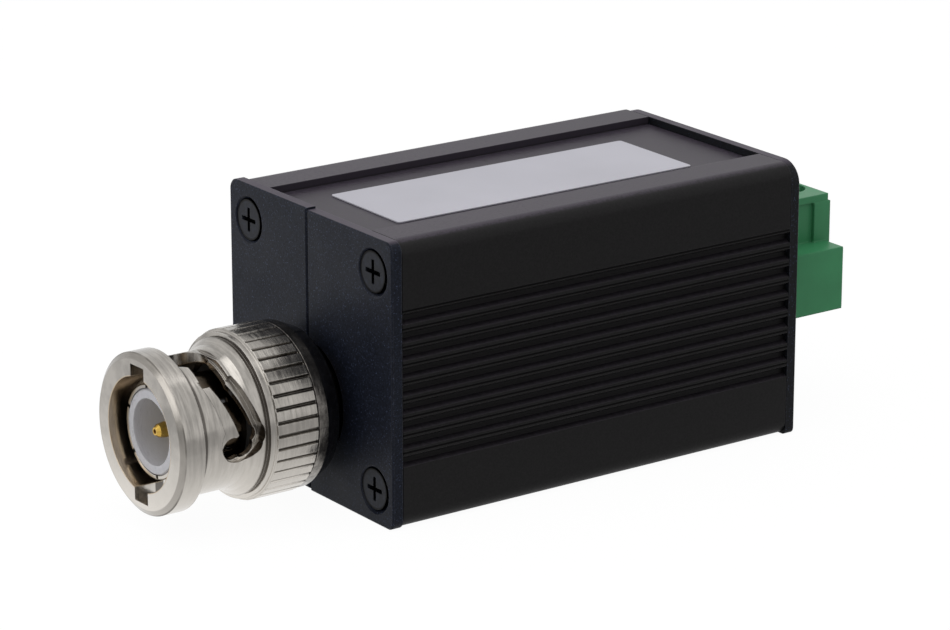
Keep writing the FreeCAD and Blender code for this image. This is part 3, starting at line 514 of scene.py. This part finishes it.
class BALUN_OT_terminal(bpy.types.Operator):
    """Green moulding, tinned contacts and zinc-plated clamps of the screw terminal"""
    bl_idname = "balun.terminal"
    bl_label = "Screw terminal"

    def execute(self, context):
        base = tuple(colours().terminal)
        moulded = Finish("green_moulding", base, 0.42, specular=0.28)
        spark = moulded.noise(0.1 * MM, 2.0, 0.5)
        flow = moulded.noise(3.5 * MM, 3.0, 0.5)
        moulded.tint(moulded.spread(flow, 0.3, 0.7), lighter(base, 0.92), lighter(base, 1.08))
        moulded.rough(flow, 0.38, 0.48)
        moulded.rounded(0.22 * MM)
        moulded.bumped(spark, 0.004 * MM, 0.6)
        dress(moulded, "terminal_plug", "terminal_header")
        tin = Finish("tin_plate", (0.6, 0.6, 0.58), 0.3, 1.0)
        tin.rough(tin.noise(0.5 * MM, 3.0, 0.6), 0.24, 0.42)
        dress(tin, "header_pin_1", "header_pin_2", "plug_contact_1", "plug_contact_2")
        zinc_colour = (0.56, 0.55, 0.5)
        zinc = Finish("zinc_plate", zinc_colour, 0.3, 1.0)
        bloom = zinc.noise(0.7 * MM, 3.0, 0.6)
        zinc.tint(zinc.spread(bloom, 0.3, 0.7), lighter(zinc_colour, 0.85), lighter(zinc_colour, 1.1))
        zinc.rough(bloom, 0.24, 0.4)
        dress(zinc, "clamp_cage_1", "clamp_cage_2", "clamp_screw_1", "clamp_screw_2")
        return {"FINISHED"}


class BALUN_OT_board(bpy.types.Operator):
    """Circuit board and the small parts on it"""
    bl_idname = "balun.board"
    bl_label = "Circuit board"

    def execute(self, context):
        base = tuple(colours().board)
        mask = Finish("solder_mask", base, 0.35)
        weave = mask.noise(0.5 * MM, 2.0, 0.5, stretch=(1.0, 0.25, 1.0))
        mask.tint(mask.spread(weave, 0.35, 0.65), lighter(base, 0.85), lighter(base, 1.15))
        mask.rough(weave, 0.3, 0.42)
        dress(mask, "circuit_board")
        ferrite = Finish("ferrite", (0.02, 0.019, 0.02), 0.5)
        grit = ferrite.noise(0.15 * MM, 3.0, 0.6)
        ferrite.tint(ferrite.spread(grit, 0.3, 0.7), (0.014, 0.014, 0.014), (0.032, 0.03, 0.03))
        ferrite.bumped(grit, 0.01 * MM, 0.6)
        dress(ferrite, "transformer_core")
        lacquer = Finish("film_capacitor", (0.35, 0.03, 0.02), 0.35)
        peel = lacquer.noise(0.8 * MM, 2.0, 0.5)
        lacquer.tint(lacquer.spread(peel, 0.3, 0.7), (0.31, 0.026, 0.018), (0.39, 0.036, 0.024))
        lacquer.bumped(peel, 0.02 * MM, 0.5)
        dress(lacquer, "capacitor")
        chip = Finish("chip_glaze", (0.015, 0.015, 0.016), 0.4)
        chip.rough(chip.noise(0.3 * MM, 2.0, 0.5), 0.3, 0.5)
        dress(chip, "resistor")
        glaze = Finish("white_glaze", (0.62, 0.6, 0.56), 0.25)
        craze = glaze.noise(1.2 * MM, 3.0, 0.5)
        glaze.tint(glaze.spread(craze, 0.3, 0.7), (0.58, 0.56, 0.52), (0.66, 0.64, 0.6))
        dress(glaze, "surge_arrester")
        return {"FINISHED"}


class BALUN_OT_windings(bpy.types.Operator):
    """Turns of enamelled wire on the ring core, in place of the plain bands"""
    bl_idname = "balun.windings"
    bl_label = "Windings"

    def execute(self, context):
        base = tuple(colours().copper)
        enamel = Finish("enamelled_copper", base, 0.25, 0.8)
        tone = enamel.noise(1.0 * MM, 2.0, 0.5)
        enamel.tint(enamel.spread(tone, 0.3, 0.7), lighter(base, 0.85), lighter(base, 1.15))
        enamel.rough(tone, 0.2, 0.34)
        core_low, core_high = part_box("transformer_core")
        middle = (Vector(core_low) + Vector(core_high)) / 2
        wire = context.scene.balun_winding.wire
        turns = context.scene.balun_winding.turns
        for node, piece_name in (("winding_primary", "wire_turns_primary"), ("winding_secondary", "wire_turns_secondary")):
            low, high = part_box(node)
            side = 1 if low[1] + high[1] > 2 * middle.y else -1
            mesh = self.turns(middle, Vector(core_high) - middle, wire, turns, side)
            piece = bpy.data.objects.new(piece_name, mesh)
            context.scene.collection.objects.link(piece)
            piece.data.materials.append(enamel.material)
            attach(piece, "box")
            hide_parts(node)
        return {"FINISHED"}

    def turns(self, middle, half, wire, turns, side):
        hole_r = 2.0 * MM
        inner = hole_r - wire / 2 - 0.03 * MM
        outer = half.x + wire / 2 + 0.03 * MM
        rise = half.z + wire / 2 + 0.03 * MM
        loop_mesh = bmesh.new()
        corner = 0.35 * MM
        ring = bmesh.ops.create_circle(loop_mesh, segments=8, radius=wire / 2)["verts"]
        start = Vector((inner, 0.0, 0.0))
        bmesh.ops.rotate(loop_mesh, verts=ring, matrix=Matrix.Rotation(math.pi / 8, 3, "Z"))
        bmesh.ops.translate(loop_mesh, verts=ring, vec=start)
        arms = ((inner + corner, rise - corner), (outer - corner, rise - corner),
                (outer - corner, corner - rise), (inner + corner, corner - rise))
        ends = [e for e in loop_mesh.edges]
        straight = ((0, 0, rise - corner), (outer - inner - 2 * corner, 0, 0), (0, 0, 2 * (corner - rise)),
                    (2 * corner + inner - outer, 0, 0))
        for arm, (run, pivot) in enumerate(zip(straight, arms)):
            out = bmesh.ops.extrude_edge_only(loop_mesh, edges=ends)
            fresh = [g for g in out["geom"] if isinstance(g, bmesh.types.BMVert)]
            ends = [g for g in out["geom"] if isinstance(g, bmesh.types.BMEdge)]
            bmesh.ops.translate(loop_mesh, verts=fresh, vec=run)
            out = bmesh.ops.spin(loop_mesh, geom=ends, cent=(pivot[0], 0.0, pivot[1]), axis=(0, 1, 0),
                                 angle=math.pi / 2, steps=3, use_merge=False)
            ends = [g for g in out["geom_last"] if isinstance(g, bmesh.types.BMEdge)]
        out = bmesh.ops.extrude_edge_only(loop_mesh, edges=ends)
        fresh = [g for g in out["geom"] if isinstance(g, bmesh.types.BMVert)]
        bmesh.ops.translate(loop_mesh, verts=fresh, vec=(0, 0, rise - corner))
        bmesh.ops.remove_doubles(loop_mesh, verts=loop_mesh.verts, dist=0.01 * MM)
        bmesh.ops.recalc_face_normals(loop_mesh, faces=loop_mesh.faces)
        one = bpy.data.meshes.new("wire_turn")
        loop_mesh.to_mesh(one)
        loop_mesh.free()
        whole = bmesh.new()
        arc = math.radians(140)
        for i in range(turns):
            angle = side * (math.pi / 2) - arc / 2 + arc * i / (turns - 1)
            before = set(whole.verts)
            whole.from_mesh(one)
            fresh = [v for v in whole.verts if v not in before]
            bmesh.ops.rotate(whole, verts=fresh, cent=(0, 0, 0), matrix=Matrix.Rotation(angle, 3, "Z"))
        bmesh.ops.translate(whole, verts=whole.verts, vec=middle)
        for face in whole.faces:
            face.smooth = True
        mesh = bpy.data.meshes.new("wire_turns")
        whole.to_mesh(mesh)
        whole.free()
        bpy.data.meshes.remove(one)
        return mesh


class BALUN_OT_studio(bpy.types.Operator):
    """Pale floor, soft lights, white surroundings and the camera"""
    bl_idname = "balun.studio"
    bl_label = "Studio"

    def execute(self, context):
        scene = context.scene
        settings = scene.balun_studio
        scene.view_settings.view_transform = "Standard"
        self.floor(scene)
        self.world(scene, settings.world)
        self.lamp("key_light", (0.05, -0.05, 0.55), (0.0, 0.0, 0.01), 0.5, 0.5, settings.key)
        self.lamp("front_light", (-0.1, -0.6, 0.22), (0.0, 0.0, 0.01), 0.35, 0.3, settings.fill)
        camera_data = bpy.data.cameras.new("camera")
        camera_data.sensor_width = 36.0
        camera_data.lens = settings.lens
        camera_data.clip_start = 0.01
        camera_data.clip_end = 10.0
        camera = bpy.data.objects.new("camera", camera_data)
        camera.location = (0.2646, -0.189825, 0.1154)
        forward = Vector((-0.7754, 0.5549, -0.3013))
        camera.rotation_euler = forward.to_track_quat("-Z", "Y").to_euler()
        scene.collection.objects.link(camera)
        scene.camera = camera
        return {"FINISHED"}

    def step(self, tree, operation, first, second):
        node = tree.nodes.new("ShaderNodeMath")
        node.operation = operation
        for socket, value in zip(node.inputs, (first, second)):
            if isinstance(value, float):
                socket.default_value = value
            else:
                tree.links.new(value, socket)
        return node.outputs["Value"]

    def seen_plainly(self, tree):
        path = tree.nodes.new("ShaderNodeLightPath")
        first = self.step(tree, "MAXIMUM", path.outputs["Is Camera Ray"], path.outputs["Is Glossy Ray"])
        return self.step(tree, "MAXIMUM", first, path.outputs["Is Transmission Ray"])

    def floor(self, scene):
        sheet = bmesh.new()
        bmesh.ops.create_grid(sheet, x_segments=1, y_segments=1, size=3.0)
        mesh = bpy.data.meshes.new("floor")
        sheet.to_mesh(mesh)
        sheet.free()
        floor = bpy.data.objects.new("floor", mesh)
        scene.collection.objects.link(floor)
        material = bpy.data.materials.new("floor_paper")
        material.use_nodes = True
        tree = material.node_tree
        paper = tree.nodes["Principled BSDF"]
        paper.inputs["Base Color"].default_value = (0.6, 0.6, 0.6, 1.0)
        paper.inputs["Roughness"].default_value = 0.9
        paper.inputs["Specular IOR Level"].default_value = 0.0
        glow = tree.nodes.new("ShaderNodeEmission")
        glow.inputs["Strength"].default_value = 1.055
        path = tree.nodes.new("ShaderNodeLightPath")
        mirrored = self.step(tree, "MAXIMUM", path.outputs["Is Glossy Ray"], path.outputs["Is Transmission Ray"])
        coords = tree.nodes.new("ShaderNodeTexCoord")
        across = tree.nodes.new("ShaderNodeSeparateXYZ")
        tree.links.new(coords.outputs["Object"], across.inputs["Vector"])
        # Painted shadow: the floor's glow seen in reflections fades out towards +X.
        fall = tree.nodes.new("ShaderNodeMapRange")
        fall.interpolation_type = "SMOOTHSTEP"
        fall.inputs["From Min"].default_value = -0.005
        fall.inputs["From Max"].default_value = 0.035
        fall.inputs["To Min"].default_value = 0.9
        fall.inputs["To Max"].default_value = 0.12
        tree.links.new(across.outputs["X"], fall.inputs["Value"])
        part = self.step(tree, "MULTIPLY", mirrored, fall.outputs["Result"])
        seen = self.step(tree, "MULTIPLY", path.outputs["Is Camera Ray"], 0.91)
        share = self.step(tree, "ADD", part, seen)
        mix = tree.nodes.new("ShaderNodeMixShader")
        tree.links.new(share, mix.inputs[0])
        tree.links.new(paper.outputs[0], mix.inputs[1])
        tree.links.new(glow.outputs[0], mix.inputs[2])
        tree.links.new(mix.outputs[0], tree.nodes["Material Output"].inputs["Surface"])
        mesh.materials.append(material)

    def world(self, scene, strength):
        world = bpy.data.worlds.new("room")
        world.use_nodes = True
        tree = world.node_tree
        back = tree.nodes["Background"]
        back.inputs["Color"].default_value = (1.0, 1.0, 1.0, 1.0)
        level = tree.nodes.new("ShaderNodeMapRange")
        level.inputs["To Min"].default_value = strength
        level.inputs["To Max"].default_value = 1.0
        tree.links.new(self.seen_plainly(tree), level.inputs["Value"])
        tree.links.new(level.outputs["Result"], back.inputs["Strength"])
        scene.world = world

    def lamp(self, name, place, aim, width, height, power):
        data = bpy.data.lights.new(name, "AREA")
        data.shape = "RECTANGLE"
        data.size = width
        data.size_y = height
        data.energy = power
        lamp = bpy.data.objects.new(name, data)
        lamp.location = place
        lamp.rotation_euler = (Vector(aim) - Vector(place)).to_track_quat("-Z", "Y").to_euler()
        bpy.context.scene.collection.objects.link(lamp)


STEPS = (BALUN_OT_housing, BALUN_OT_plates, BALUN_OT_screws, BALUN_OT_label, BALUN_OT_bayonet, BALUN_OT_contact,
         BALUN_OT_terminal, BALUN_OT_board, BALUN_OT_windings, BALUN_OT_studio)


class BALUN_PT_panel(bpy.types.Panel):
    """The balun's finishes, sizes and studio"""
    bl_idname = "BALUN_PT_panel"
    bl_label = "Video balun"
    bl_space_type = "VIEW_3D"
    bl_region_type = "UI"
    bl_category = "Balun"

    def draw(self, context):
        scene = context.scene
        for group in (scene.balun_colours, scene.balun_sizes, scene.balun_winding, scene.balun_studio):
            box = self.layout.box()
            for name in group.__annotations__:
                box.prop(group, name)
        for step in STEPS:
            self.layout.operator(step.bl_idname)


GROUPS = (FinishColours, FinishSizes, WindingSizes, StudioSettings)


def register():
    for cls in GROUPS + STEPS + (BALUN_PT_panel,):
        bpy.utils.register_class(cls)
    bpy.types.Scene.balun_colours = bpy.props.PointerProperty(type=FinishColours)
    bpy.types.Scene.balun_sizes = bpy.props.PointerProperty(type=FinishSizes)
    bpy.types.Scene.balun_winding = bpy.props.PointerProperty(type=WindingSizes)
    bpy.types.Scene.balun_studio = bpy.props.PointerProperty(type=StudioSettings)


def unregister():
    for name in ("balun_colours", "balun_sizes", "balun_winding", "balun_studio"):
        delattr(bpy.types.Scene, name)
    for cls in reversed(GROUPS + STEPS + (BALUN_PT_panel,)):
        bpy.utils.unregister_class(cls)


def main():
    register()
    bpy.ops.balun.housing()
    bpy.ops.balun.plates()
    bpy.ops.balun.screws()
    bpy.ops.balun.label()
    bpy.ops.balun.bayonet()
    bpy.ops.balun.contact()
    bpy.ops.balun.terminal()
    bpy.ops.balun.board()
    bpy.ops.balun.windings()
    bpy.ops.balun.studio()


if __name__ == "__main__":
    main()
